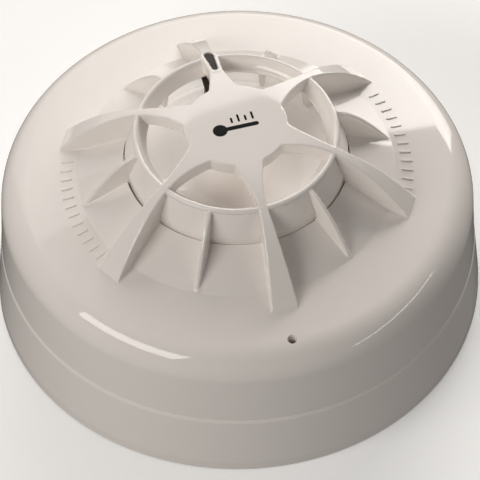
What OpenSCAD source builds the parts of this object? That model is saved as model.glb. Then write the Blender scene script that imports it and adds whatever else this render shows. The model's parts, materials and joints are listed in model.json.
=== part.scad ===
// Point heat detector: a screw-fixed mounting base and a twist-on head with an open sensing cage.
// Frame: origin at the centre of the base's back face, +Z away from the wall or ceiling,
// first cage arm along -Y. Millimetres.

/* [Base] */
// Outside diameter of the mounting base
base_d = 100; // [98:0.5:102]
// Height of the base's rim
base_h = 15.4; // [15:0.1:15.6]
// Thickness of the back plate
back_t = 2.4; // [2:0.1:2.8]
// Thickness of the base's side wall
base_wall = 1.9; // [1.6:0.1:2.2]
// Centre distance of the two fixing slots
slot_spacing = 55.5; // [54:0.5:57]
// Width of a fixing slot
slot_w = 4.2; // [3.6:0.1:4.6]
// End-to-end length of a fixing slot
slot_len = 8.7; // [7:0.1:10]
// Diameter of the central cable entry
cable_d = 20; // [16:1:24]

/* [Head] */
// Gap between the base's rim and the head
head_gap = 0.45; // [0.3:0.05:0.6]
// Wall thickness of the outer cover
cover_t = 2; // [1.6:0.1:2.2]
// Radius of the rounded shoulder
shoulder_r = 6.6; // [6:0.1:7]
// Height of the shoulder arc's centre
shoulder_z = 26.3; // [26:0.1:26.6]
// Radius of the circle where the raised turret starts
turret_r = 32.55; // [32:0.05:33]
// Height of that circle
turret_z = 34.56; // [34.4:0.02:34.7]
// Radius of the opening at the top of the turret
seam_r = 23.05; // [22.9:0.05:23.2]
// Height of the opening's edge
seam_z = 39.52; // [39.4:0.02:39.6]
// Diameter of the lock screw's access hole
lock_hole_d = 1.9; // [1.6:0.1:2.2]

/* [Cage] */
// Overall height, at the top of the star plate
cage_top = 49.57; // [49.4:0.01:49.7]
// Radius of the star plate between its arms
plate_r = 10.61; // [10:0.01:11]
// Thickness of the star plate
plate_t = 2.8; // [2.2:0.1:3]
// Radius of the ring's crest
ring_r = 20.69; // [20.5:0.01:20.8]
// Height of the ring's crest
ring_z = 47.5; // [47.4:0.1:47.6]
// Radius at an arm's outer end
arm_end_r = 36.75; // [36:0.05:37.5]
// Width of an arm at the plate and at its outer end
arm_end_w = 5.6; // [5:0.1:6]
// Width of an arm where it crosses the ring
arm_waist_w = 1.8; // [1.6:0.1:2]
// Thickness of a small fin
fin_t = 1; // [0.8:0.1:1.2]
// Radius at a small fin's tip
fin_tip_r = 32.4; // [31.6:0.1:32.5]

/* [Terminals] */
// Radius of the circle of terminals
terminal_r = 33; // [32.8:0.1:33.2]
// Diameter of a terminal screw's shank
terminal_screw_d = 3.3; // [3.1:0.1:3.4]
// Diameter of a terminal screw's head
terminal_head_d = 6.4; // [6:0.1:6.8]
// Thickness of the contact strip
strip_t = 0.5; // [0.4:0.05:0.6]

/* [Electronics] */
// Radius of the circuit board
board_r = 34; // [33.8:0.1:34.2]
// Thickness of the circuit board
board_t = 1.6; // [1.5:0.1:1.7]
// Diameter of the thermistor bead
bead_d = 2.4; // [2:0.1:2.6]

/* [Hidden] */
$fn = 96;

white = [0.90, 0.88, 0.85];
steel = [0.75, 0.76, 0.78];
eps = 0.02;

// Base
base_r = base_d / 2;
base_in_r = base_r - base_wall - 1;
lug_r = base_r - 5.6;
lug_z = 11;
lug_t = 1.8;
lug_half = 8;
lug_angles = [50, 170, 290];
terminal_angles = [45, 135, 225, 315, 90];
tower_h = 3;
tower_top = back_t + tower_h;
fit_gap = 0.05;

// Head
head_z = base_h + head_gap;
head_r = base_r - 1.1;
shoulder_x = base_r - 1.75 - shoulder_r;
dome_slope = (turret_z - (shoulder_z + shoulder_r * sin(80)))
    / (shoulder_x + shoulder_r * cos(80) - turret_r);
cone_slope = (seam_z - turret_z) / (turret_r - seam_r);
lock_r = base_r - 6.7;
lock_angle = -90.6;
lock_screw_r = 1.5;
lock_boss_z = 17.5;
boss_r = 41;
boss_angles = [0, 120, 240];
case_z = 13.2;
case_t = 1.8;
case_top = case_z + case_t;
case_r = base_r - 4.1;
board_z = 20;
board_top = board_z + board_t;
post_angles = [30, 150, 270];
post_r = 29;
pad_t = 0.3;
pad_r = 32.6;
pad_angle = 20;
crest_z = case_z - pad_t - 0.02;

// Cage
arm_angles = [for (i = [0:5]) -90 + 60 * i];
fin_angles = [for (i = [0:5]) -60 + 60 * i];
pipe_angle = 90;
arm_power = 2.45;
fin_power = 1.55;
arm_start_r = 8;
arm_end_z = dome_height(arm_end_r) + 0.35;
tab_r = seam_r - 0.2;
floor_z = 38;
bowl_t = 1.5;

// Height of the outer cover's surface at radius r, outside and inside the turret circle
function dome_height(r) = turret_z - dome_slope * (r - turret_r);
function cone_height(r) = seam_z - cone_slope * (r - seam_r);
// Points of an arc from angle a to angle b
function arc(c, r, a, b, n) =
    [for (i = [0:n]) let (t = a + (b - a) * i / n) [c[0] + r * cos(t), c[1] + r * sin(t)]];
// Height of an arm's and a fin's top edge at radius r
function arm_top(r) = cage_top
    - (cage_top - arm_end_z) * pow(max(0, (r - arm_start_r) / (arm_end_r - arm_start_r)), arm_power);
function fin_top(r) = ring_z - 0.7
    - (ring_z - 0.7 - cone_height(fin_tip_r)) * pow((r - ring_r) / (fin_tip_r - ring_r), fin_power);
// Half the width of an arm at radius r
function arm_half(r) = r < ring_r
    ? arm_waist_w / 2 + (arm_end_w - arm_waist_w) / 2 * pow((ring_r - r) / (ring_r - plate_r), 2)
    : arm_waist_w / 2 + (arm_end_w - arm_waist_w) / 2 * pow((r - ring_r) / (arm_end_r - ring_r), 1.3);

// A part of a ring, of section [r, z], between two angles
module sector(r_in, r_out, z, h, mid, half) {
    rotate([0, 0, mid - half])
        rotate_extrude(angle = 2 * half)
            translate([r_in, z]) square([r_out - r_in, h]);
}

// Places children at radius r in direction a, with their +X pointing outwards
module polar(a, r) {
    rotate([0, 0, a]) translate([r, 0, 0]) children();
}

// Stands an [r, z] outline up along +X, t thick
module blade(t) {
    rotate([90, 0, 0]) translate([0, 0, -t / 2]) linear_extrude(t) children();
}

// ---- Base ----

module fixing_slot(side) {
    run = (slot_len - slot_w) / 2;
    translate([side * slot_spacing / 2, 0, -1]) {
        for (s = [-run, run]) translate([s, 0, 0]) cylinder(d = slot_w, h = back_t + 2);
        translate([-run, -slot_w / 2, 0]) cube([2 * run, slot_w, back_t + 2]);
    }
}

module terminal_tower() {
    translate([-4, -4.5, back_t - eps]) cube([8, 9, tower_h + eps]);
}

module bayonet_lug(a) {
    sector(lug_r, base_in_r + 0.6, lug_z, lug_t, a, lug_half);
    sector(lug_r, base_in_r + 0.6, lug_z - 2.4, lug_t + 2.4, a - lug_half - 1.3, 0.9);
}

module base_moulding() {
    color(white) difference() {
        union() {
            rotate_extrude() polygon([
                [cable_d / 2, 0], [base_r, 0], [base_r, 2], [base_r - 0.95, base_h - 1.4],
                [base_r - 1.45, base_h], [base_in_r - 0.15, base_h], [base_in_r, back_t],
                [cable_d / 2 + 1.5, back_t], [cable_d / 2 + 1.5, back_t + 1.6],
                [cable_d / 2, back_t + 1.6]
            ]);
            for (a = terminal_angles) polar(a, terminal_r) terminal_tower();
            for (a = lug_angles) bayonet_lug(a);
            polar(lock_angle, lock_r) translate([0, 0, back_t - eps]) {
                cylinder(r = 2.9, h = 8.4);
                translate([0, -1, 0]) cube([base_in_r + 0.4 - lock_r, 2, 8.4]);
            }
        }
        for (s = [-1, 1]) fixing_slot(s);
        for (a = terminal_angles)
            polar(a, terminal_r) translate([0, 0, 1.2])
                cylinder(d = terminal_screw_d + 2 * fit_gap, h = tower_top);
        polar(lock_angle, lock_r) translate([0, 0, 5]) cylinder(r = lock_screw_r + 0.2, h = 8);
    }
}

// Flat plate with a screw hole, seated on a terminal tower
module terminal_foot() {
    difference() {
        translate([-3.6, -4, tower_top]) cube([7.2, 8, strip_t]);
        translate([0, 0, tower_top - 1]) cylinder(d = terminal_screw_d + 0.3, h = strip_t + 2);
    }
}

module contact_wipe(i) {
    crest_y = terminal_r * tan(pad_angle);
    low = tower_top;
    color(steel) polar(terminal_angles[i - 1], terminal_r) {
        terminal_foot();
        translate([-2, 0, 0]) rotate([90, 0, 90]) linear_extrude(4) polygon([
            [3.9, low], [crest_y - 1.3, crest_z - 0.75], [crest_y, crest_z - strip_t],
            [crest_y + 1.3, crest_z - 0.75], [crest_y + 3.4, crest_z - 2.9],
            [crest_y + 3.8, crest_z - 2.5], [crest_y + 1.6, crest_z - 0.3],
            [crest_y + 0.5, crest_z], [crest_y - 0.5, crest_z],
            [crest_y - 1.6, crest_z - 0.3], [3.9, low + strip_t]
        ]);
    }
}

module earth_plate() {
    color(steel) polar(terminal_angles[4], terminal_r) {
        terminal_foot();
        translate([-3.6, 4 - eps, tower_top]) cube([7.2, strip_t, 3]);
    }
}

module terminal_clamp(i) {
    color(steel) polar(terminal_angles[i - 1], terminal_r)
        difference() {
            translate([0, 0, tower_top + strip_t]) {
                translate([-3.4, -3.4, 0.5]) cube([6.8, 6.8, 0.8]);
                for (s = [-3.4, 2.8]) translate([s, -3.4, 0]) cube([0.6, 6.8, 0.6]);
            }
            translate([0, 0, tower_top]) cylinder(d = terminal_screw_d + 2 * fit_gap, h = 4);
        }
}

module terminal_screw(i) {
    seat = tower_top + strip_t + 1.3;
    color(steel) polar(terminal_angles[i - 1], terminal_r)
        difference() {
            union() {
                translate([0, 0, 1.7]) cylinder(d = terminal_screw_d, h = seat - 1.7 + eps);
                translate([0, 0, seat]) cylinder(d = terminal_head_d, h = 1.3);
                translate([0, 0, seat + 1.3])
                    cylinder(d1 = terminal_head_d, d2 = terminal_head_d - 1.4, h = 0.6);
            }
            translate([-0.5, -2.2, seat + 0.9]) cube([1, 4.4, 2]);
            translate([-2.2, -0.5, seat + 0.9]) cube([4.4, 1, 2]);
        }
}

// ---- Head ----

module cover_shell() {
    in_r = shoulder_r - cover_t;
    rotate_extrude() polygon(concat(
        [[head_r, head_z], [shoulder_x + shoulder_r, shoulder_z]],
        arc([shoulder_x, shoulder_z], shoulder_r, 10, 80, 10),
        [[turret_r, turret_z], [seam_r, seam_z], [seam_r, seam_z - cover_t * 1.13]],
        [[turret_r - cover_t * 0.33, turret_z - cover_t * 0.96]],
        arc([shoulder_x, shoulder_z], in_r, 80, 10, 8),
        [[shoulder_x + in_r, shoulder_z], [head_r - cover_t, head_z]]
    ));
}

// Slanted band of the ring, leaning inwards towards its lower edge
module cage_ring() {
    rotate_extrude() polygon([
        [ring_r - 2.45, ring_z - 2.4], [ring_r - 2.15, ring_z - 3.0], [ring_r - 1.7, ring_z - 3.15],
        [ring_r + 0.35, ring_z - 0.85], [ring_r + 0.4, ring_z - 0.35], [ring_r, ring_z],
        [ring_r - 0.4, ring_z + 0.05], [ring_r - 0.75, ring_z - 0.2]
    ]);
}

// One long arm from the star plate to its flared end on the dome
module arm() {
    steps = [for (i = [0:14]) arm_start_r + (arm_end_r - arm_start_r) * i / 14];
    intersection() {
        translate([0, 0, seam_z - 8]) linear_extrude(30) polygon(concat(
            [for (r = steps) [r, arm_half(r)]],
            [for (i = [14:-1:0]) [steps[i], -arm_half(steps[i])]]
        ));
        blade(3 * arm_end_w) polygon(concat(
            [for (r = steps) [r, arm_top(r)]],
            [
                [arm_end_r, dome_height(arm_end_r) - 1], [turret_r, turret_z - 1],
                [seam_r, seam_z - 1.2], [ring_r - 0.4, floor_z + 0.1],
                [ring_r - 1.3, ring_z - 2.8], [ring_r - 3, ring_z - 1.6],
                [plate_r + 3, cage_top - plate_t - 0.4], [arm_start_r, cage_top - plate_t]
            ]
        ));
    }
}

module fin() {
    steps = [for (i = [0:10]) ring_r + (fin_tip_r - ring_r) * i / 10];
    blade(fin_t) polygon(concat(
        [for (r = steps) [r, fin_top(r)]],
        [
            [fin_tip_r, turret_z - 1], [seam_r, seam_z - 1.2], [ring_r - 0.4, floor_z + 0.1],
            [ring_r - 1.3, ring_z - 2.8]
        ]
    ));
}

// Tapered oblong outline of the light pipe, grown by g on every side
module pipe_outline(g) {
    outer = 21.2;
    inner = 16.2;
    translate([outer, 0]) circle(r = 0.85 + g);
    translate([inner, 0]) circle(r = 0.5 + g);
    polygon([
        [outer, 0.85 + g], [inner, 0.5 + g], [inner, -0.5 - g], [outer, -0.85 - g]
    ]);
}

module outer_cover() {
    color(white) difference() {
        union() {
            cover_shell();
            cage_ring();
            translate([0, 0, cage_top - plate_t]) cylinder(r = plate_r, h = plate_t);
            for (a = arm_angles) rotate([0, 0, a]) arm();
            for (a = fin_angles) rotate([0, 0, a]) fin();
            rotate([0, 0, pipe_angle]) intersection() {
                translate([0, 0, ring_z - 2.4]) linear_extrude(6) pipe_outline(0.9);
                blade(8) polygon([
                    [14, ring_z - 2.4], [14, arm_top(14)], [18, arm_top(18)], [23, arm_top(22)],
                    [23, ring_z - 2.4]
                ]);
            }
            for (a = boss_angles) polar(a, boss_r) translate([0, 0, case_top])
                cylinder(r = 2.8, h = dome_height(boss_r) - 1 - case_top);
            polar(lock_angle, lock_r) translate([0, 0, lock_boss_z])
                cylinder(r = 2.6, h = shoulder_z + 4.2 - lock_boss_z);
        }
        rotate([0, 0, pipe_angle]) translate([0, 0, ring_z - 4]) linear_extrude(8) pipe_outline(0.1);
        for (a = boss_angles) polar(a, boss_r) translate([0, 0, case_top - 1])
            cylinder(r = 1.25, h = 11);
        polar(lock_angle, lock_r) translate([0, 0, lock_boss_z - 1]) {
            cylinder(r = lock_screw_r + fit_gap, h = 12);
            cylinder(d = lock_hole_d, h = 30);
        }
    }
}

// Inner moulding: flange under the cover, upright wall in twelve tabs, and the bowl's floor
module sensor_bowl() {
    color(white) difference() {
        rotate_extrude() polygon(concat([
            [tab_r, floor_z - 1.5], [tab_r, 41.4], [22.3, 43.1], [20.95, 46.3],
            [20.1, 45.35], [21.2, 42.9], [21.5, 41.2], [21.5, floor_z],
            [20.4, floor_z], [19.6, floor_z - 0.8]],
            [[14, 35.6], [9, 34.9], [5, 34.8], [4.4, 35.2], [4, 38.6], [0, 38.6],
            [0, 34.8 - bowl_t], [9, 34.8 - bowl_t], [14, 35.5 - bowl_t],
            [20, floor_z - 1 - bowl_t], [tab_r, 34.4], [28, cone_height(28) - cover_t * 1.13 - 1.8],
            [28, cone_height(28) - cover_t * 1.13 - 0.1],
            [tab_r + 0.4, seam_z - cover_t * 1.13 - 0.35]]
        ));
        for (a = arm_angles) rotate([0, 0, a])
            translate([19, -arm_waist_w / 2 - 0.2, floor_z]) cube([6, arm_waist_w + 0.4, 10]);
        for (a = fin_angles) rotate([0, 0, a])
            translate([19, -fin_t / 2 - 0.15, floor_z]) cube([6, fin_t + 0.3, 10]);
        rotate([0, 0, pipe_angle]) {
            translate([17.2, -2, 30]) cube([2.4, 4, 12]);
            translate([19, -2, ring_z - 2.6]) cube([6, 4, 4]);
        }
        for (s = [-1, 1]) translate([0.6 * s, 0, 30]) cylinder(r = 0.4, h = 12);
    }
}

module rear_case() {
    color(white) difference() {
        union() {
            translate([0, 0, case_z]) cylinder(r = case_r, h = case_t);
            difference() {
                translate([0, 0, case_top - eps]) cylinder(r = case_r, h = 3.6);
                translate([0, 0, case_top - 1]) cylinder(r = case_r - 1.5, h = 6);
            }
            for (a = lug_angles) {
                sector(lug_r - 2.2, lug_r - 0.6, lug_z - 2.2, case_z - lug_z + 2.3, a, lug_half);
                sector(lug_r - 0.8, base_in_r - 0.6, lug_z - 2.2, 2, a, lug_half);
            }
            for (a = post_angles) polar(a, post_r) translate([0, 0, case_top - eps])
                cylinder(r = 2.2, h = board_z - case_top + eps);
        }
        for (a = boss_angles) polar(a, boss_r) translate([0, 0, case_z - 1]) cylinder(r = 1.6, h = 4);
        polar(lock_angle, lock_r) {
            translate([0, 0, case_z - 1]) cylinder(r = 2, h = 4);
            translate([0, 0, case_top]) cylinder(r = 3, h = 6);
        }
        for (i = [0:3]) polar(terminal_angles[i] + pad_angle, pad_r)
            translate([0, 0, case_z - 1]) cylinder(r = 1.05, h = 4);
    }
}

module circuit_board() {
    color([0.10, 0.36, 0.20]) difference() {
        translate([0, 0, board_z]) cylinder(r = board_r, h = board_t);
        for (i = [0:3]) polar(terminal_angles[i] + pad_angle, pad_r)
            translate([0, 0, board_z - 1]) cylinder(r = 0.65, h = 4);
        for (s = [-1, 1]) translate([0.6 * s, 0, board_z - 1]) cylinder(r = 0.3, h = 4);
    }
}

module head_contact(i) {
    mid = terminal_angles[i - 1] + pad_angle;
    color(steel) {
        sector(31, 37.2, case_z - pad_t, pad_t, mid, 6);
        polar(mid, pad_r) translate([0, 0, case_z - eps]) cylinder(r = 1, h = board_z - case_z - 0.5);
        polar(mid, pad_r) translate([0, 0, case_top + 1]) cylinder(r = 0.6, h = 7.4);
    }
}

module thermistor_bead() {
    color([0.12, 0.12, 0.13]) {
        translate([0, 0, 44]) cylinder(d = bead_d, h = 1);
        translate([0, 0, 45]) sphere(d = bead_d, $fn = 48);
    }
}

module thermistor_leads() {
    color(steel) for (s = [-1, 1]) translate([0.6 * s, 0, board_z - 0.8])
        cylinder(r = 0.25, h = 44 - board_z + 0.8, $fn = 24);
}

module light_pipe() {
    foot_z = board_top + 2.6;
    color([0.24, 0.22, 0.21]) rotate([0, 0, pipe_angle]) {
        intersection() {
            translate([0, 0, ring_z - 3.4]) linear_extrude(8) pipe_outline(0);
            blade(6) polygon([
                [15, ring_z - 3.4], [15, arm_top(15) - 0.3], [18, arm_top(18) - 0.3],
                [23, arm_top(22.4) - 0.3], [23, ring_z - 3.4]
            ]);
        }
        translate([17.4, 0, 0]) rotate([90, 0, 90]) linear_extrude(2) polygon([
            [-2.4, ring_z - 3.3], [2.4, ring_z - 3.3], [1.6, 39.5], [1.6, foot_z],
            [-1.6, foot_z], [-1.6, 39.5]
        ]);
    }
}

module status_led() {
    color([0.85, 0.15, 0.12]) rotate([0, 0, pipe_angle]) translate([18.4, 0, board_top]) {
        translate([-1, -1.6, 0]) cube([2, 3.2, 0.8]);
        translate([0, 0, 0.8]) cylinder(r = 0.9, h = 1.4);
    }
}

module microcontroller() {
    body = 7;
    color([0.10, 0.10, 0.11]) translate([-20, -9, board_top]) {
        translate([0, 0, 0.3]) cube([body, body, 1.4]);
        for (i = [0:6], s = [-0.8, body - 0.2]) translate([0.55 + i * 0.9, s, 0]) cube([0.45, 1, 0.4]);
    }
}

module storage_capacitor() {
    color([0.15, 0.18, 0.28]) translate([17, -12, board_top]) {
        cylinder(d = 6.3, h = 5.6);
        translate([-3.3, -3.3, 0]) cube([6.6, 6.6, 0.8]);
    }
}

module surface_mount_parts() {
    color([0.55, 0.45, 0.34]) {
        for (i = [0:4]) translate([-16 + 5 * i, 12, board_top]) cube([2, 1.25, 0.6]);
        for (i = [0:4]) translate([-9 + 5 * i, -19, board_top]) cube([1.25, 2, 0.6]);
        for (i = [0:1]) translate([20, 4 + 6 * i, board_top]) cube([4.6, 2.7, 2]);
    }
}

module case_screws() {
    color(steel) for (a = boss_angles) polar(a, boss_r)
        difference() {
            union() {
                translate([0, 0, case_z - 1.6]) cylinder(d1 = 3.8, d2 = 5, h = 0.6);
                translate([0, 0, case_z - 1]) cylinder(d = 5, h = 1);
                translate([0, 0, case_z - eps]) cylinder(r = 1.2, h = 9);
                translate([0, 0, case_z + 9 - 2 * eps]) cylinder(r1 = 1.2, r2 = 0.4, h = 1.2);
            }
            translate([-0.4, -1.5, case_z - 2]) cube([0.8, 3, 1.3]);
            translate([-1.5, -0.4, case_z - 2]) cube([3, 0.8, 1.3]);
        }
}

module locking_screw() {
    color(steel) polar(lock_angle, lock_r) difference() {
        translate([0, 0, 18.6]) {
            cylinder(r1 = 1, r2 = lock_screw_r, h = 0.6);
            translate([0, 0, 0.6 - eps]) cylinder(r = lock_screw_r, h = 7.8);
        }
        translate([0, 0, 25]) cylinder(r = 0.87, h = 3, $fn = 6);
    }
}

base_moulding();
for (i = [1:4]) contact_wipe(i);
earth_plate();
for (i = [1:5]) terminal_clamp(i);
for (i = [1:5]) terminal_screw(i);
outer_cover();
sensor_bowl();
rear_case();
circuit_board();
for (i = [1:4]) head_contact(i);
thermistor_bead();
thermistor_leads();
light_pipe();
status_led();
microcontroller();
storage_capacitor();
surface_mount_parts();
case_screws();
locking_screw();
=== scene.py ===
"""Point heat detector: smooth moulded shells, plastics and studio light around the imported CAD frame."""
import json
import math

import bpy
import numpy as np
from mathutils import Matrix, Vector


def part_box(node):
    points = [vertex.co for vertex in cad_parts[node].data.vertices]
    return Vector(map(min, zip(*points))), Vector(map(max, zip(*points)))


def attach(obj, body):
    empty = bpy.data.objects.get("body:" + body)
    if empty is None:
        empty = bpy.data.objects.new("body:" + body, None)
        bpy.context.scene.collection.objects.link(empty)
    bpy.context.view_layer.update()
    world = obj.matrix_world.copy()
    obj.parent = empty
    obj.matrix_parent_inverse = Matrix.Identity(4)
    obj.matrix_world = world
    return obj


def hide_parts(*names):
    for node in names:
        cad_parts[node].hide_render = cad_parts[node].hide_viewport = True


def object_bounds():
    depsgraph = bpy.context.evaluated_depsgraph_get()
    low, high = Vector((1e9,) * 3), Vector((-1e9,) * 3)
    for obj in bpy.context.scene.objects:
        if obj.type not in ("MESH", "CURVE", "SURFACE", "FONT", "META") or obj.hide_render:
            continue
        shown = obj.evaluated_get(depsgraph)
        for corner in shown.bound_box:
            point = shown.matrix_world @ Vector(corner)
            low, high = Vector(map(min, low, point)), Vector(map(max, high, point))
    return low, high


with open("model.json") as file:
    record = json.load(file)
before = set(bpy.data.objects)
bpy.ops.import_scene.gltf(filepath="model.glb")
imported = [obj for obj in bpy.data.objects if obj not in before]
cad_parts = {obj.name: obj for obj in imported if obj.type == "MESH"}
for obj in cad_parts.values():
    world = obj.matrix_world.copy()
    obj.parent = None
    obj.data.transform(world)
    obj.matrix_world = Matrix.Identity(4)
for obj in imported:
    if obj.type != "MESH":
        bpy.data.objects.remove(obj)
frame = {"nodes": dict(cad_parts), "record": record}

cad_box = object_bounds()
scene = bpy.context.scene
MM = 0.001

# ---------------------------------------------------------------- driving sizes, in millimetres

BASE_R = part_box("base_moulding")[1][0] / MM
COVER_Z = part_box("outer_cover")[0][2] / MM
COVER_R = BASE_R - 1.1
COVER_T = 2.0
SKIN = 1.2  # how deep the cage's mesh reaches into the cover's wall
PRINT_T = 0.02  # the printed mark stands this far above the star plate
CAGE_TOP = cad_box[1][2] / MM - PRINT_T
PLATE_R, PLATE_T, PLATE_CROWN_R = 10.61, 2.8, 700  # the crown is the slight dome of its top
SHOULDER_R = 6.6
SHOULDER_X = BASE_R - 1.75 - SHOULDER_R
SHOULDER_Z = 26.3
TURRET_R, TURRET_Z = 32.55, 34.56
SEAM_R, SEAM_Z = 23.05, 39.52
RING_R, RING_Z = 20.69, 47.5
BAND_CENTRE_R, BAND_CENTRE_Z, BAND_R, BAND_T = 16.6, 48.0, 4.0, 1.2  # the ring's cross-section
ARM_START_R, ARM_END_R = 8.0, 36.75
ARM_END_W, ARM_WAIST_W = 5.6, 1.8
ARM_FALL = 2.45  # exponent of the arms' top, level at the plate and steep at the dome
FIN_T, FIN_TIP_R = 1.0, 32.4
FIN_START_Z = RING_Z - 0.7
FIN_FALL = 1.55
POST_TOP_R, POST_TOP_Z = 19.4, RING_Z - 2.8
FIRST_ARM, FIRST_FIN = -90, -60  # directions in degrees, every sixth of a turn from there
FLOOR_Z = 38.0
LOCK_R, LOCK_ANGLE, LOCK_HOLE_R = BASE_R - 6.7, -90.6, 0.95
PIPE_ANGLE = 90.0
PIPE_OUTER, PIPE_INNER = 21.2, 16.2
PIPE_OUTER_HALF_W, PIPE_INNER_HALF_W = 0.85, 0.5
TICK_R, TICK_PITCH, TICKS = 34.9, 3.9, 12

SHOULDER_END = math.radians(80)  # the shoulder's arc ends here, and the dome's straight line starts
DOME_EDGE_Z = SHOULDER_Z + SHOULDER_R * math.sin(SHOULDER_END)
DOME_EDGE_R = SHOULDER_X + SHOULDER_R * math.cos(SHOULDER_END)
DOME_SLOPE = (TURRET_Z - DOME_EDGE_Z) / (DOME_EDGE_R - TURRET_R)
CONE_SLOPE = (SEAM_Z - TURRET_Z) / (TURRET_R - SEAM_R)


def dome_height(r):
    return TURRET_Z - DOME_SLOPE * (r - TURRET_R)


def cone_height(r):
    return SEAM_Z - CONE_SLOPE * (r - SEAM_R)


ARM_END_Z = dome_height(ARM_END_R) + 0.35


# ---------------------------------------------------------------- meshes

def new_object(name, points, faces):
    """A mesh object from points in millimetres and groups of faces with a normal at each corner."""
    mesh = bpy.data.meshes.new(name)
    mesh.vertices.add(len(points))
    mesh.vertices.foreach_set("co", (np.asarray(points) * MM).ravel().astype(np.float32))
    corners = np.concatenate([f.ravel() for f, _ in faces]).astype(np.int32)
    sizes = np.concatenate([np.full(len(f), f.shape[1]) for f, _ in faces])
    mesh.loops.add(len(corners))
    mesh.loops.foreach_set("vertex_index", corners)
    mesh.polygons.add(len(sizes))
    starts = np.concatenate([[0], np.cumsum(sizes)[:-1]])
    mesh.polygons.foreach_set("loop_start", starts.astype(np.int32))
    mesh.update(calc_edges=True)
    mesh.polygons.foreach_set("use_smooth", np.ones(len(sizes), dtype=bool))
    mesh.normals_split_custom_set(np.concatenate([n.reshape(-1, 3) for _, n in faces]).tolist())
    mesh.update()
    obj = bpy.data.objects.new(name, mesh)
    scene.collection.objects.link(obj)
    return obj


def joined(*parts):
    """One set of points and faces from several."""
    points, faces, start = [], [], 0
    for p, f in parts:
        points.append(p)
        faces += [(g + start, n) for g, n in f]
        start += len(p)
    return np.concatenate(points), faces


def placed(part, matrix):
    """A part turned and moved by a 4 x 4 matrix in millimetres."""
    points, faces = part
    m = np.array(matrix)
    return points @ m[:3, :3].T + m[:3, 3], [(f, n @ m[:3, :3].T) for f, n in faces]


def rounded_outline(corners, steps_per_turn=40):
    """Points and outward normals of a closed [r, z, radius] outline, listed with its solid on the left."""
    points, normals = [], []
    count = len(corners)
    for i, (r, z, radius) in enumerate(corners):
        here = np.array([r, z], dtype=float)
        before = np.array(corners[i - 1][:2], dtype=float)
        after = np.array(corners[(i + 1) % count][:2], dtype=float)
        d_in = (here - before) / np.linalg.norm(here - before)
        d_out = (after - here) / np.linalg.norm(after - here)
        turn = math.atan2(d_in[0] * d_out[1] - d_in[1] * d_out[0], d_in @ d_out)
        trim = radius * math.tan(abs(turn) / 2)
        side = 1 if turn > 0 else -1
        centre = here - d_in * trim + side * radius * np.array([-d_in[1], d_in[0]])
        first = np.array([d_in[1], -d_in[0]]) * side
        steps = max(2, round(steps_per_turn * abs(turn) / (2 * math.pi) * (1 + radius / 3)))
        for k in range(steps + 1):
            a = turn * k / steps
            spoke = np.array([
                first[0] * math.cos(a) - first[1] * math.sin(a),
                first[0] * math.sin(a) + first[1] * math.cos(a),
            ])
            points.append(centre + radius * spoke)
            normals.append(spoke * side)
    return np.array(points), np.array(normals)


def lathe(outline, segments=288):
    """Turns a closed outline of points and normals about Z."""
    points, normals = outline
    n = len(points)
    a = np.arange(segments) * 2 * math.pi / segments
    cos, sin = np.cos(a)[:, None], np.sin(a)[:, None]
    p = np.stack([points[:, 0] * cos, points[:, 0] * sin, points[:, 1] + 0 * cos], axis=2)
    q = np.stack([normals[:, 0] * cos, normals[:, 0] * sin, normals[:, 1] + 0 * cos], axis=2)
    i, j = np.meshgrid(np.arange(segments), np.arange(n), indexing="ij")
    i2, j2 = (i + 1) % segments, (j + 1) % n
    quads = np.stack([i * n + j, i2 * n + j, i2 * n + j2, i * n + j2], axis=2).reshape(-1, 4)
    return p.reshape(-1, 3), [(quads, q.reshape(-1, 3)[quads])]


def raised_bar(length, width, height, rounding, sunk=0.1, steps=10):
    """A flat-topped bar with round ends along X, standing on the XY plane."""
    turns = np.arange(2 * steps) * math.pi / steps + math.pi / (2 * steps)
    spokes = np.stack([np.cos(turns), np.sin(turns)], axis=1)
    ends = np.sign(spokes[:, :1]) * np.array([[length / 2, 0]])
    levels = [(0, -sunk, 0)]
    levels += [(rounding * (1 - math.cos(a)), height - rounding * (1 - math.sin(a)), a)
               for a in np.radians([0, 22.5, 45, 67.5, 90])]
    points, normals = [], []
    for inset, z, a in levels:
        ring = ends + spokes * (width / 2 - inset)
        points.append(np.column_stack([ring, np.full(len(ring), z)]))
        normals.append(np.column_stack([spokes * math.cos(a), np.full(len(ring), math.sin(a))]))
    n = 2 * steps
    k, j = np.meshgrid(np.arange(len(levels) - 1), np.arange(n), indexing="ij")
    j2 = (j + 1) % n
    quads = np.stack([k * n + j, k * n + j2, (k + 1) * n + j2, (k + 1) * n + j], axis=2).reshape(-1, 4)
    normals = np.concatenate(normals)
    top = np.arange(n)[None, :] + (len(levels) - 1) * n
    bottom = np.arange(n)[None, ::-1]
    up = np.zeros((1, n, 3))
    up[..., 2] = 1
    return np.concatenate(points), [(quads, normals[quads]), (top, up), (bottom, -up)]


# ---------------------------------------------------------------- solids as distance fields

def cut(a, b, radius):
    """The solid inside both fields, with its edge rounded."""
    u, v = np.maximum(a + radius, 0), np.maximum(b + radius, 0)
    return np.minimum(-radius, np.maximum(a, b)) + np.hypot(u, v)


def merge(a, b, radius):
    """The solid inside either field, with a fillet where they meet."""
    u, v = np.maximum(radius - a, 0), np.maximum(radius - b, 0)
    return np.maximum(radius, np.minimum(a, b)) - np.hypot(u, v)


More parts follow.
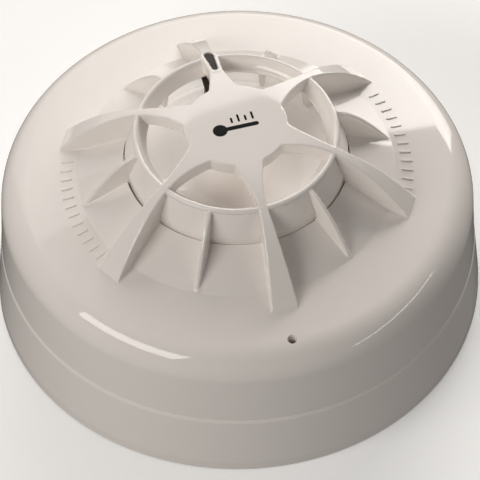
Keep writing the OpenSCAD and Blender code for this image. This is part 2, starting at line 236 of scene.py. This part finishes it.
def polygon_field(r, z, corners):
    """Distance to a closed outline in the r, z plane, negative inside."""
    best = np.full(r.shape, 1e9, dtype=r.dtype)
    inside = np.zeros(r.shape, dtype=bool)
    for (r0, z0), (r1, z1) in zip(corners, corners[1:] + corners[:1]):
        er, ez = r1 - r0, z1 - z0
        t = np.clip(((r - r0) * er + (z - z0) * ez) / (er * er + ez * ez), 0, 1)
        best = np.minimum(best, np.hypot(r - r0 - t * er, z - z0 - t * ez))
        if z0 != z1:
            crossing = (z0 > z) != (z1 > z)
            inside ^= crossing & (r < r0 + (z - z0) / (z1 - z0) * er)
    return np.where(inside, -best, best)


def surface(field, low, high, step, keep=None):
    """Points, faces and normals of a field's zero surface, settled on the field itself."""
    axes = [np.arange(a, b + step, step) for a, b in zip(low, high)]
    grid = np.stack(np.meshgrid(*axes, indexing="ij"))
    value = field(*grid)
    inside = value < 0
    cells = tuple(n - 1 for n in value.shape)
    corners = [(i, j, k) for i in (0, 1) for j in (0, 1) for k in (0, 1)]

    def corner(array, c):
        return array[c[0]:c[0] + cells[0], c[1]:c[1] + cells[1], c[2]:c[2] + cells[2]]

    filled = sum(corner(inside, c).astype(np.int8) for c in corners)
    active = (filled > 0) & (filled < 8)
    number = np.full(cells, -1, dtype=np.int32)
    number[active] = np.arange(int(active.sum()))
    at = np.argwhere(active)
    v = {c: corner(value, c)[active] for c in corners}
    total = np.zeros((len(at), 3))
    hits = np.zeros(len(at))
    for c in corners:
        for axis in range(3):
            if c[axis]:
                continue
            d = tuple(1 if m == axis else c[m] for m in range(3))
            crossing = (v[c] < 0) != (v[d] < 0)
            t = np.where(crossing, v[c] / np.where(crossing, v[c] - v[d], 1), 0)
            spot = np.tile(np.array(c, dtype=float), (len(at), 1))
            spot[:, axis] += t
            total += spot * crossing[:, None]
            hits += crossing
    points = np.array(low) + step * (at + total / hits[:, None])

    faces = []
    for axis in range(3):
        b, c = (axis + 1) % 3, (axis + 2) % 3
        low_part = [slice(None)] * 3
        high_part = [slice(None)] * 3
        low_part[axis], high_part[axis] = slice(None, -1), slice(1, None)
        first, second = inside[tuple(low_part)], inside[tuple(high_part)]
        edges = np.argwhere(first != second)
        good = np.ones(len(edges), dtype=bool)
        for m in (b, c):
            good &= (edges[:, m] > 0) & (edges[:, m] < cells[m])
        edges = edges[good]
        outward = first[tuple(edges.T)]
        quad = []
        for db, dc in ((1, 1), (0, 1), (0, 0), (1, 0)):
            shifted = edges.copy()
            shifted[:, b] -= db
            shifted[:, c] -= dc
            quad.append(number[tuple(shifted.T)])
        quad = np.stack(quad, axis=1)
        quad[~outward] = quad[~outward][:, ::-1]
        faces.append(quad)
    faces = np.concatenate(faces)

    small = 0.01  # half of the distance between the samples that give the slope
    for _ in range(3):
        f, g = gradient(field, points, small)
        move = g * (f / np.maximum((g * g).sum(axis=1), 1e-6))[:, None]
        points -= np.clip(move, -step / 2, step / 2)
    _, g = gradient(field, points, small)
    normals = g / np.maximum(np.linalg.norm(g, axis=1), 1e-9)[:, None]
    if keep is not None:
        kept = keep(*points.T)
        faces = faces[kept[faces].any(axis=1)]
        used = np.unique(faces)
        renumber = np.full(len(points), -1)
        renumber[used] = np.arange(len(used))
        points, normals, faces = points[used], normals[used], renumber[faces]
    return points, [(faces, normals[faces])]


def gradient(field, points, small):
    x, y, z = points.T
    f = field(x, y, z)
    g = np.stack([
        field(x + small, y, z) - field(x - small, y, z),
        field(x, y + small, z) - field(x, y - small, z),
        field(x, y, z + small) - field(x, y, z - small),
    ], axis=1) / (2 * small)
    return f, g


def turned(x, y, angle):
    """Coordinates along and across a spoke at an angle in degrees."""
    a = math.radians(angle)
    return x * math.cos(a) + y * math.sin(a), y * math.cos(a) - x * math.sin(a)


def folded(x, y, first):
    """Coordinates along and across the nearest of six spokes, the first at the given angle."""
    a = np.arctan2(y, x) - math.radians(first)
    turn = math.radians(60)
    a = a - turn * np.round(a / turn)
    r = np.hypot(x, y)
    return r * np.cos(a), r * np.sin(a)


# ---------------------------------------------------------------- the outer cover's cage

def arm_top(u):
    """Height of an arm's top edge and the length of its slope per unit of radius."""
    t = np.clip((u - ARM_START_R) / (ARM_END_R - ARM_START_R), 0, 1.1)
    drop = CAGE_TOP - ARM_END_Z
    slope = drop * ARM_FALL * t ** (ARM_FALL - 1) / (ARM_END_R - ARM_START_R)
    return CAGE_TOP - drop * t ** ARM_FALL, np.sqrt(1 + slope * slope)


def arm_half(u):
    """Half of an arm's width, narrowest where it crosses the ring."""
    near = np.clip((RING_R - u) / (RING_R - PLATE_R), 0, 1.3)
    far = np.clip((u - RING_R) / (ARM_END_R - RING_R), 0, 1.1)
    return ARM_WAIST_W / 2 + (ARM_END_W - ARM_WAIST_W) / 2 * (near ** 2 + far ** 1.3)


def fin_top(u):
    """Height of a fin's top edge, from the ring's crest to the turret, and its slope's length."""
    t = np.clip((u - RING_R) / (FIN_TIP_R - RING_R), 0, 1.1)
    drop = FIN_START_Z - cone_height(FIN_TIP_R)
    slope = drop * FIN_FALL * np.maximum(t, 1e-6) ** (FIN_FALL - 1) / (FIN_TIP_R - RING_R)
    return FIN_START_Z - drop * t ** FIN_FALL, np.sqrt(1 + slope * slope)


def post_edge(z):
    """Radius of an arm's or a fin's inner edge, from the bowl's floor up to the ring."""
    return RING_R - 0.4 - 0.9 * (z - FLOOR_Z) / (POST_TOP_Z - FLOOR_Z)


def star_field(r, u, v, z):
    """The star plate and its arms: one outline in plan, one top, and one arched underside."""
    edge, flare_cos, arch_rise = 0.28, 0.985, 2.0
    top, steep = arm_top(u)
    top = CAGE_TOP - np.hypot(CAGE_TOP - top, r * r / (2 * PLATE_CROWN_R))
    arm = np.maximum((np.abs(v) - arm_half(u)) * flare_cos, u - ARM_END_R)
    plan = merge(r - PLATE_R, arm, 0.3)
    along = np.clip((u - ARM_START_R) / (POST_TOP_R - ARM_START_R), 0, 1.2)
    arch = CAGE_TOP - PLATE_T - arch_rise * along ** 2 - z
    under = merge(arch, post_edge(z) - u, 0.8)
    return cut(cut((z - top) / steep, plan, edge), under, edge)


def fin_field(u, v, z):
    """A flat fin under the ring's crest, which stops inside the ring's band."""
    top, steep = fin_top(u)
    edge = 0.3
    field = cut((z - top) / steep, np.abs(v) - FIN_T / 2, 0.4)
    field = cut(cut(field, post_edge(z) - u, edge), u - FIN_TIP_R, edge)
    return np.maximum(field, BAND_R - np.hypot(u - BAND_CENTRE_R, z - BAND_CENTRE_Z))


def ring_field(r, z):
    """A slanted band with a hollow inner face, as a thick arc."""
    low_end, high_end = math.radians(-57), math.radians(-17)
    u, v = r - BAND_CENTRE_R, z - BAND_CENTRE_Z
    a = np.clip(np.arctan2(v, u), low_end, high_end)
    return np.hypot(u - BAND_R * np.cos(a), v - BAND_R * np.sin(a)) - BAND_T / 2


def shell_field(r, z, lowered):
    """The turret and the dome, with the rounded edge of their opening."""
    dome = (z - dome_height(r)) / math.hypot(1, DOME_SLOPE)
    cone = (z - cone_height(r)) / math.hypot(1, CONE_SLOPE)
    return cut(merge(dome, cone, 0.6), SEAM_R - r, 0.12) + lowered


def pipe_field(x, y, grow):
    """Across the light pipe's tapered oblong outline, grown on every side."""
    u, v = turned(x, y, PIPE_ANGLE)
    t = np.clip((u - PIPE_INNER) / (PIPE_OUTER - PIPE_INNER), 0, 1)
    half_w = PIPE_INNER_HALF_W + (PIPE_OUTER_HALF_W - PIPE_INNER_HALF_W) * t
    return np.hypot(u - PIPE_INNER - t * (PIPE_OUTER - PIPE_INNER), v) - half_w - grow


SINK = 0.008  # the cage's mesh of the shell lies this far under the turned one


def cage_field(x, y, z):
    """The cage with its fillets onto the cover's shell."""
    fillet, small_fillet, edge = 0.3, 0.22, 0.25
    socket_wall, socket_gap, socket_depth = 0.9, 0.1, 2.4
    r = np.hypot(x, y)
    u, v = folded(x, y, FIRST_ARM)
    cage = merge(star_field(r, u, v, z), ring_field(r, z), small_fillet)
    uf, vf = folded(x, y, FIRST_FIN)
    cage = merge(cage, fin_field(uf, vf, z), small_fillet)
    ub, _ = turned(x, y, PIPE_ANGLE)
    socket_top, steep = arm_top(np.minimum(ub, PIPE_OUTER + 0.8))
    socket = cut(pipe_field(x, y, socket_wall), (z - socket_top) / steep, edge)
    socket = cut(socket, RING_Z - socket_depth - z, edge)
    cage = merge(cage, socket, fillet)
    cage = cut(cage, -pipe_field(x, y, socket_gap), 0.1)
    whole = merge(cage, shell_field(r, z, SINK), fillet)
    below = np.where(r > SEAM_R, cone_height(r) - SKIN, FLOOR_Z + 0.1)
    below = np.where(r > TURRET_R, dome_height(r) - SKIN, below)
    return np.maximum(whole, below - z)


def off_the_shell(x, y, z):
    """True where the cage's mesh isn't just a copy of the turned shell under it."""
    r = np.hypot(x, y)
    return (shell_field(r, z, SINK) > SINK / 2) | (r < SEAM_R - 0.3)


def boss(angle, radius, inner, outer, low, high):
    """An upright tube inside the cover."""
    tube = lathe(rounded_outline([
        (outer, low, 0.2), (outer, high, 0.1), (inner, high, 0.1), (inner, low, 0.2),
    ], 12), 48)
    a = math.radians(angle)
    return placed(tube, Matrix.Translation((radius * math.cos(a), radius * math.sin(a), 0)))


def drilled(part, outline):
    """The cover's shell with the lock screw's access hole cut through its shoulder."""
    shell = new_object("shell", *part)
    a = math.radians(LOCK_ANGLE)
    centre = np.array([LOCK_R * math.cos(a), LOCK_R * math.sin(a)])
    bpy.ops.mesh.primitive_cylinder_add(
        vertices=64, radius=LOCK_HOLE_R * MM, depth=0.02, location=(*centre * MM, 0.03))
    tool = bpy.context.object
    hole = shell.modifiers.new("hole", "BOOLEAN")
    hole.object = tool
    mesh = bpy.data.meshes.new_from_object(shell.evaluated_get(bpy.context.evaluated_depsgraph_get()))
    points = np.empty(len(mesh.vertices) * 3, dtype=np.float32)
    mesh.vertices.foreach_get("co", points)
    points = points.reshape(-1, 3).astype(float) / MM
    corners = np.empty(len(mesh.loops), dtype=np.int32)
    mesh.loops.foreach_get("vertex_index", corners)
    starts = np.empty(len(mesh.polygons), dtype=np.int32)
    mesh.polygons.foreach_get("loop_start", starts)
    sizes = np.diff(np.append(starts, len(corners)))
    for old in (shell, tool):
        bpy.data.objects.remove(old)

    r = np.hypot(points[:, 0], points[:, 1])
    flat = np.stack([r, points[:, 2]], axis=1)
    gap = np.hypot(*(flat[:, None] - outline[0][None]).transpose(2, 0, 1))
    nearest = gap.argmin(axis=1)
    profile = outline[1][nearest]
    new = gap.min(axis=1) > 0.003  # corners that the hole made, off the outline's own points
    spoke = flat[new] - np.array([SHOULDER_X, SHOULDER_Z])
    length = np.hypot(*spoke.T)[:, None]
    profile[new] = spoke / length * np.where(length > SHOULDER_R - COVER_T / 2, 1, -1)
    normals = np.column_stack([profile[:, :1] * points[:, :2] / r[:, None], profile[:, 1]])
    lean = centre - points[:, :2]
    at_wall = np.abs(np.hypot(*lean.T) - LOCK_HOLE_R) < 0.01
    wall_normals = np.column_stack([lean / LOCK_HOLE_R, np.zeros(len(points))])
    faces = []
    for size in np.unique(sizes):
        group = corners[starts[sizes == size][:, None] + np.arange(size)]
        wall = at_wall[group].all(axis=1)
        for chosen, source in ((~wall, normals), (wall, wall_normals)):
            if chosen.any():
                faces.append((group[chosen], source[group[chosen]]))
    return points, faces


def dome_ticks():
    """Short raised bars in two arcs on the dome, in place of the moulded lettering."""
    bar = raised_bar(1.9, 0.5, 0.22, 0.12)
    tilt = math.atan(DOME_SLOPE)
    parts = []
    for middle in (-1.0, 181.0):
        for k in range(TICKS):
            angle = math.radians(middle + (k - (TICKS - 1) / 2) * TICK_PITCH)
            turn = Matrix.Rotation(angle, 4, "Z")
            where = turn @ Matrix.Translation((TICK_R, 0, dome_height(TICK_R)))
            parts.append(placed(bar, where @ Matrix.Rotation(tilt, 4, "Y")))
    return joined(*parts)


def outer_cover():
    """Turned shell, bosses for the screws, cage and raised bars, as one mesh."""
    corner_r = SHOULDER_X + SHOULDER_R + 0.05
    top = dome_height(corner_r)
    outline = rounded_outline([
        (COVER_R, COVER_Z, 0.25), (corner_r, top, SHOULDER_R), (TURRET_R, TURRET_Z, 0.6),
        (SEAM_R, SEAM_Z, 0.12), (SEAM_R, SEAM_Z - 1.13 * COVER_T, 0.2),
        (TURRET_R - 0.33 * COVER_T, TURRET_Z - 0.96 * COVER_T, 1.0),
        (corner_r - COVER_T, top - COVER_T, SHOULDER_R - COVER_T),
        (COVER_R - COVER_T, COVER_Z, 0.25),
    ])
    shell = drilled(lathe(outline), outline)
    bosses = [boss(LOCK_ANGLE, LOCK_R, inner=1.55, outer=2.6, low=17.5, high=30.8)]
    for angle in (0, 120, 240):
        bosses.append(boss(angle, 41, inner=1.25, outer=2.8, low=15, high=31.2))
    reach = ARM_END_R + 1.0
    cage = surface(
        cage_field, (-reach, -reach, 31.5), (reach, reach, CAGE_TOP + 0.6),
        0.33, off_the_shell,
    )
    return new_object("outer_cover_moulding", *joined(shell, cage, dome_ticks(), *bosses))


def printed(outline):
    """A thin flat print of a closed outline of x, y points on the star plate."""
    n = len(outline)
    low = np.column_stack([outline, np.full(n, CAGE_TOP - 0.1)])
    high = np.column_stack([outline, np.full(n, CAGE_TOP + PRINT_T)])
    i = np.arange(n)
    sides = np.stack([i, (i + 1) % n, (i + 1) % n + n, i + n], axis=1)
    edge = np.roll(outline, -1, axis=0) - outline
    edge /= np.linalg.norm(edge, axis=1)[:, None]
    out = np.column_stack([edge[:, 1], -edge[:, 0], np.zeros(n)])
    up = np.tile([0.0, 0.0, 1.0], (1, n, 1))
    return np.concatenate([low, high]), [
        (sides, np.repeat(out[:, None], 4, axis=1)), (i[None] + n, up), (i[None, ::-1], -up)]


def arc(x, y, radius, start, end, steps=24):
    """Points of an arc about x, y, from one angle in degrees to another."""
    a = np.radians(np.linspace(start, end, steps))
    return np.column_stack([x + radius * np.cos(a), y + radius * np.sin(a)])


def class_mark():
    """A printed thermometer sign on the star plate: a bulb with its stem, and four graduations."""
    bulb_x, bulb, stem_end_x, half_stem, y = -3.5, 1.5, 4.1, 0.5, -0.75
    neck = math.degrees(math.asin(half_stem / bulb))
    parts = [printed(np.concatenate([
        arc(bulb_x, y, bulb, neck, 360 - neck, 48), arc(stem_end_x, y, half_stem, -90, 90)]))]
    half_line, low = 0.22, 0.75
    for k in range(4):
        x, high = -0.6 + 1.45 * k, 2.3 if k % 2 else 1.75
        ends = arc(x, low, half_line, 180, 360, 8), arc(x, high, half_line, 0, 180, 8)
        parts.append(printed(np.concatenate(ends)))
    return new_object("class_mark_print", *joined(*parts))


# ---------------------------------------------------------------- the bowl

BOWL_OUTLINE = [  # r, z of the wall with its tabs, the floor inside it and the skirt outside
    (22.97, 36.5), (22.97, 41.4), (22.3, 43.1), (20.87, 46.45), (20.15, 45.35), (21.2, 42.9),
    (21.5, 41.2), (21.5, FLOOR_Z), (20.4, FLOOR_Z), (19.6, 37.2), (14, 35.6), (9.5, 35.2),
    (-1, 35.6), (-1, 33.3), (9, 33.3), (14, 34.0), (20, 35.5), (22.97, 34.4), (28, 32.8),
    (28, 34.4), (23.25, 36.8),
]
BOWL_NARROWING = 1.014  # leaves a wider gap to the cover at the left and the right
TAB_OVERLAP = 0.15  # how far the tabs reach into the arms and fins between them
SLOT_R = 19.0  # where the slots between the tabs start
PASSAGE_R, PASSAGE_L, PASSAGE_W = 18.4, 2.4, 4.0  # the light pipe's way through the floor


def bowl_field(x, y, z):
    """The turned bowl with slots for the arms and fins and a hole for the light pipe."""
    slots = np.inf
    for first, width in ((FIRST_ARM, ARM_WAIST_W), (FIRST_FIN, FIN_T)):
        _, v = folded(x, y, first)
        slots = np.minimum(slots, np.abs(v) - width / 2 + TAB_OVERLAP)
    slots = np.maximum(slots, FLOOR_Z + TAB_OVERLAP - z)
    slots = np.maximum(slots, SLOT_R - np.hypot(x, y))
    u, v = turned(x, y, PIPE_ANGLE)
    passage = np.maximum(np.abs(u - PASSAGE_R) - PASSAGE_L / 2, np.abs(v) - PASSAGE_W / 2)
    field = polygon_field(np.hypot(BOWL_NARROWING * x, y), z, BOWL_OUTLINE)
    return cut(field, -np.minimum(slots, passage), 0.08)


def sensor_bowl():
    return new_object("sensor_bowl_moulding", *surface(
        bowl_field, (-28.6, -28.6, 32.2), (28.6, 28.6, 47), 0.34))


# ---------------------------------------------------------------- materials

LIGHT_COLOR = (1.0, 0.965, 0.93)


def material(name, color, roughness, **sockets):
    mat = bpy.data.materials.new(name)
    mat.use_nodes = True
    shader = mat.node_tree.nodes["Principled BSDF"]
    shader.inputs["Base Color"].default_value = (*color, 1)
    shader.inputs["Roughness"].default_value = roughness
    for key, value in sockets.items():
        shader.inputs[key.replace("_", " ")].default_value = value
    return mat, mat.node_tree.nodes, mat.node_tree.links, shader


def noise(nodes, links, scale, detail):
    where = nodes.new("ShaderNodeTexCoord")
    tex = nodes.new("ShaderNodeTexNoise")
    tex.inputs["Scale"].default_value = scale
    tex.inputs["Detail"].default_value = detail
    links.new(where.outputs["Object"], tex.inputs["Vector"])
    return tex.outputs["Fac"]


def fade(nodes, links, value, start, end, low, high, kind="LINEAR"):
    """Goes from low at start to high at end, and stays level outside them."""
    ramp = nodes.new("ShaderNodeMapRange")
    ramp.interpolation_type = kind
    for key, number in (("From Min", start), ("From Max", end), ("To Min", low), ("To Max", high)):
        ramp.inputs[key].default_value = number
    links.new(value, ramp.inputs["Value"])
    return ramp.outputs["Result"]


def uneven(nodes, links, shader, scale, detail, roughness, low, high):
    """Varies the roughness in soft patches, between two factors."""
    patches = noise(nodes, links, scale, detail)
    level = fade(nodes, links, patches, 0.3, 0.7, roughness * low, roughness * high)
    links.new(level, shader.inputs["Roughness"])


def tint(nodes, links, value, color_a, color_b):
    node = nodes.new("ShaderNodeMix")
    node.data_type = "RGBA"
    node.inputs["A"].default_value = (*color_a, 1)
    node.inputs["B"].default_value = (*color_b, 1)
    links.new(value, node.inputs["Factor"])
    return node.outputs["Result"]


def bump(nodes, links, shader, value, strength, distance):
    node = nodes.new("ShaderNodeBump")
    node.inputs["Strength"].default_value = strength
    node.inputs["Distance"].default_value = distance
    links.new(value, node.inputs["Height"])
    links.new(node.outputs["Normal"], shader.inputs["Normal"])


def plastic(name, color, roughness, grain=0.03, **sockets):
    mat, nodes, links, shader = material(name, color, roughness, **sockets)
    darker = tuple(c * 0.97 for c in color)
    mottle = noise(nodes, links, 260, 3)
    links.new(tint(nodes, links, mottle, darker, color), shader.inputs["Base Color"])
    uneven(nodes, links, shader, 90, 4, roughness, 0.85, 1.2)
    bump(nodes, links, shader, noise(nodes, links, 1400, 2), grain, 0.0001)
    return mat


def metal(name, color, roughness):
    mat, nodes, links, shader = material(name, color, roughness, Metallic=1.0)
    uneven(nodes, links, shader, 900, 3, roughness, 0.8, 1.25)
    bump(nodes, links, shader, noise(nodes, links, 2400, 2), 0.015, 0.00005)
    return mat


def combined(nodes, links, operation, a, b):
    """One value socket from two."""
    node = nodes.new("ShaderNodeMath")
    node.operation = operation
    links.new(a, node.inputs[0])
    links.new(b, node.inputs[1])
    return node.outputs["Value"]


def dot_product(nodes, links, vector, other):
    """The product of a vector socket with another one, or with fixed numbers."""
    node = nodes.new("ShaderNodeVectorMath")
    node.operation = "DOT_PRODUCT"
    links.new(vector, node.inputs[0])
    if isinstance(other, tuple):
        node.inputs[1].default_value = other
    else:
        links.new(other, node.inputs[1])
    return node.outputs["Value"]


def painted_inner_glow(mat):
    """Paints a glow, an emission, on the bowl's sides that face the axis, brightest towards the back left
    and the right: painted light that brightens the shaded inside.

    The lengths in the fades are metres from the axis, the last two numbers strengths.
    """
    nodes, links = mat.node_tree.nodes, mat.node_tree.links
    where = nodes.new("ShaderNodeNewGeometry")
    flatten = nodes.new("ShaderNodeVectorMath")
    flatten.operation = "MULTIPLY"
    flatten.inputs[1].default_value = (1, 1, 0)
    links.new(where.outputs["Position"], flatten.inputs[0])
    flat = flatten.outputs["Vector"]
    outward = dot_product(nodes, links, flat, where.outputs["Normal"])
    inside = fade(nodes, links, outward, 0.002, 0.008, 1.0, 0.0)
    back_left = dot_product(nodes, links, flat, (-0.5, 0.87, 0))
    right = dot_product(nodes, links, flat, (0.8, -0.6, 0))
    painted_glow_strength = combined(
        nodes, links, "ADD",
        fade(nodes, links, back_left, -0.003, 0.02, 0.0, 0.33),
        fade(nodes, links, right, 0.003, 0.017, 0.0, 0.2),
    )
    shader = nodes["Principled BSDF"]
    # painted light: a warm white emission that brightens the bowl's inner sides
    shader.inputs["Emission Color"].default_value = (1.0, 0.98, 0.96, 1)
    links.new(combined(nodes, links, "MULTIPLY", inside, painted_glow_strength), shader.inputs["Emission Strength"])
    mat.cycles.emission_sampling = "NONE"
    return mat


WARM_WHITE = (0.89, 0.84, 0.795)
WHITE = plastic("moulded_white", WARM_WHITE, 0.05, 0.01)
# the bowl's white plastic, with the painted inner glow on its inner sides
BOWL_WHITE = painted_inner_glow(plastic("bowl_white", WARM_WHITE, 0.05, 0.01))
STEEL = metal("spring_steel", (0.62, 0.62, 0.61), 0.22)
ZINC = metal("zinc_plate", (0.66, 0.66, 0.64), 0.3)
SMOKED = plastic("smoked_plastic", (0.03, 0.021, 0.016), 0.25, Specular_IOR_Level=0.1)
BOARD = plastic("solder_resist", (0.03, 0.17, 0.07), 0.3)
BEAD = plastic("epoxy_bead", (0.02, 0.02, 0.022), 0.2)
LED = plastic("led_epoxy", (0.5, 0.03, 0.02), 0.15)
CHIP = plastic("chip_epoxy", (0.02, 0.02, 0.02), 0.45)
SLEEVE = plastic("capacitor_sleeve", (0.03, 0.04, 0.09), 0.25)
CERAMIC = plastic("component_body", (0.42, 0.31, 0.2), 0.4)
INK = plastic("black_ink", (0.008, 0.008, 0.008), 0.6, Specular_IOR_Level=0.1)

SLOT_MATERIALS = {
    "cover_white": WHITE, "board_green": BOARD, "bead_black": BEAD, "smoked_plastic": SMOKED,
    "led_red": LED, "chip_black": CHIP, "capacitor_blue": SLEEVE, "component_tan": CERAMIC,
    "spring_steel": STEEL, "plated_steel": ZINC,
}


def finish_cad_nodes():
    """Every carried-over CAD node gets its slot's material, and all but the outer cover and the bowl a
    small edge radius.
    """
    slots = {s["node"]: s["material_slot"] for s in frame["record"]["subparts"]}
    for name, obj in frame["nodes"].items():
        obj.data.materials.clear()
        obj.data.materials.append(SLOT_MATERIALS[slots[name]])
        if name in ("outer_cover", "sensor_bowl"):
            continue
        edge = obj.modifiers.new("rounded_edges", "BEVEL")
        edge.width = (0.25 if name in ("base_moulding", "rear_case") else 0.08) * MM
        edge.segments = 3
        edge.limit_method = "ANGLE"
        edge.angle_limit = math.radians(35)
        edge.harden_normals = True


# ---------------------------------------------------------------- stage, light and camera

TARGET = Vector((0, 0, 0.03))
SOFT_SPOTS = (  # azimuth, elevation, width and strength of the surroundings' soft bright regions
    (-105, -40, 80, 0.25), (172, 40, 60, 0.15), (-160, -10, 50, 0.15), (-5, 22, 55, 0.22),
)


def direction(azimuth, elevation):
    """Unit vector; the azimuth runs in degrees from +X towards +Y."""
    a, e = math.radians(azimuth), math.radians(elevation)
    return Vector((math.cos(a) * math.cos(e), math.sin(a) * math.cos(e), math.sin(e)))


def panel(name, location, facing, width, height, radiance, roll=0.0):
    """A rectangular light of even brightness; facing points from the object towards it."""
    light = bpy.data.lights.new(name, "AREA")
    light.shape = "RECTANGLE"
    light.size, light.size_y = width, height
    light.energy = radiance * math.pi * width * height
    light.color = LIGHT_COLOR
    obj = bpy.data.objects.new(name, light)
    obj.location = location
    turn = facing.to_track_quat("Z", "Y").to_matrix() @ Matrix.Rotation(math.radians(roll), 3, "Z")
    obj.rotation_euler = turn.to_euler()
    obj.visible_camera = False
    scene.collection.objects.link(obj)
    return light


def softbox(name, azimuth, elevation, distance, width, height, radiance, roll=0.0):
    """A panel in a direction from the object's middle."""
    back = direction(azimuth, elevation)
    panel(name, TARGET + back * distance, back, width, height, radiance, roll)


def back_wall():
    """A tall upright panel behind the object, brightest at its top right, that the dome reflects."""
    azimuth, distance, height = 104, 0.8, 1.09
    left, right = -0.3, 1.95
    facing, along = direction(azimuth, 0), direction(azimuth - 90, 0)
    middle = facing * distance + along * (left + right) / 2 + Vector((0, 0, height / 2))
    light = panel("back_wall", middle, facing, right - left, height, 1.0)
    light.use_nodes = True
    nodes, links = light.node_tree.nodes, light.node_tree.links
    where = nodes.new("ShaderNodeNewGeometry")
    split = nodes.new("ShaderNodeSeparateXYZ")
    links.new(where.outputs["Position"], split.inputs["Vector"])
    across = fade(nodes, links, split.outputs["X"], -0.25, 0.7, 1.2, 7.0)
    up = fade(nodes, links, split.outputs["Z"], 0.2, 0.8, 0.5, 1.0)
    links.new(combined(nodes, links, "MULTIPLY", across, up), nodes["Emission"].inputs["Strength"])


def inner_fill(x, y, radiance):
    """A small lamp under the star plate, for the light that thin white walls let into the bowl."""
    size, gap = 0.01, 0.4
    light = bpy.data.lights.new("inner_fill", "AREA")
    light.shape = "DISK"
    light.size = size
    light.energy = radiance * math.pi ** 2 * size ** 2 / 4
    light.color = LIGHT_COLOR
    obj = bpy.data.objects.new("inner_fill", light)
    obj.location = Vector((x, y, CAGE_TOP - PLATE_T - gap)) * MM
    obj.visible_camera = False
    obj.visible_glossy = False
    scene.collection.objects.link(obj)


def glow(nodes, links, azimuth, elevation, width, strength):
    """A soft bright region of the surroundings, width degrees from its middle to its edge."""
    where = nodes.new("ShaderNodeTexCoord")
    middle = tuple(direction(azimuth, elevation))
    near = dot_product(nodes, links, where.outputs["Generated"], middle)
    return fade(nodes, links, near, math.cos(math.radians(width)), 1.0, 0.0, strength, "SMOOTHSTEP")


def surroundings():
    """Dim surroundings with a few soft brighter regions."""
    world = bpy.data.worlds.new("studio")
    world.use_nodes = True
    nodes, links = world.node_tree.nodes, world.node_tree.links
    background = nodes["Background"]
    background.inputs["Color"].default_value = (1.0, 0.97, 0.94, 1)
    level = nodes.new("ShaderNodeValue").outputs["Value"]
    level.default_value = 0.06
    for spot in SOFT_SPOTS:
        level = combined(nodes, links, "ADD", level, glow(nodes, links, *spot))
    links.new(level, background.inputs["Strength"])
    scene.world = world


def studio():
    """All lights; the colours are shown as they are."""
    back_wall()
    softbox("left_box", -154, 36, distance=0.6, width=0.44, height=0.2, radiance=6.0)
    softbox("right_strip", -37, 15, distance=0.6, width=0.54, height=0.035, radiance=5.0, roll=22)
    inner_fill(x=4.5, y=-1.5, radiance=0.5)
    surroundings()
    scene.view_settings.view_transform = "Standard"


def floor():
    """A pale surface just under the object, left out of its light and its reflections."""
    bpy.ops.mesh.primitive_plane_add(size=8, location=(0, 0, -0.2 * MM))
    plane = bpy.context.object
    plane.name = "floor"
    mat, _, _, shader = material("pale_floor", (0.9, 0.9, 0.89), 0.6)
    shader.inputs["Emission Color"].default_value = (1, 1, 1, 1)
    shader.inputs["Emission Strength"].default_value = 0.2
    plane.data.materials.append(mat)
    plane.visible_diffuse = False
    plane.visible_glossy = False


def camera():
    """The view; the azimuth is counted from the front arm's direction, -Y, towards +X."""
    azimuth, elevation, roll = (math.radians(a) for a in (-14.59, 51.37, -1.02))
    distance, shift_right, shift_up = 1.1677, 0.00027, 0.00756
    back = Vector((
        math.sin(azimuth) * math.cos(elevation), -math.cos(azimuth) * math.cos(elevation),
        math.sin(elevation),
    ))
    right = Vector((math.cos(azimuth), math.sin(azimuth), 0))
    up = back.cross(right)
    right, up = (
        right * math.cos(roll) + up * math.sin(roll),
        up * math.cos(roll) - right * math.sin(roll),
    )
    data = bpy.data.cameras.new("camera")
    data.lens, data.sensor_width = 418.8, 36
    obj = bpy.data.objects.new("camera", data)
    place = Matrix((right, up, back)).transposed().to_4x4()
    place.translation = back * distance + right * shift_right + up * shift_up
    obj.matrix_world = place
    scene.collection.objects.link(obj)
    scene.camera = obj


# ---------------------------------------------------------------- assembly

finish_cad_nodes()

cover = outer_cover()
cover.data.materials.append(WHITE)
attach(cover, "head")
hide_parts("outer_cover")

bowl = sensor_bowl()
bowl.data.materials.append(BOWL_WHITE)
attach(bowl, "head")
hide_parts("sensor_bowl")

mark = class_mark()
mark.data.materials.append(INK)
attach(mark, "head")

floor()
studio()
camera()
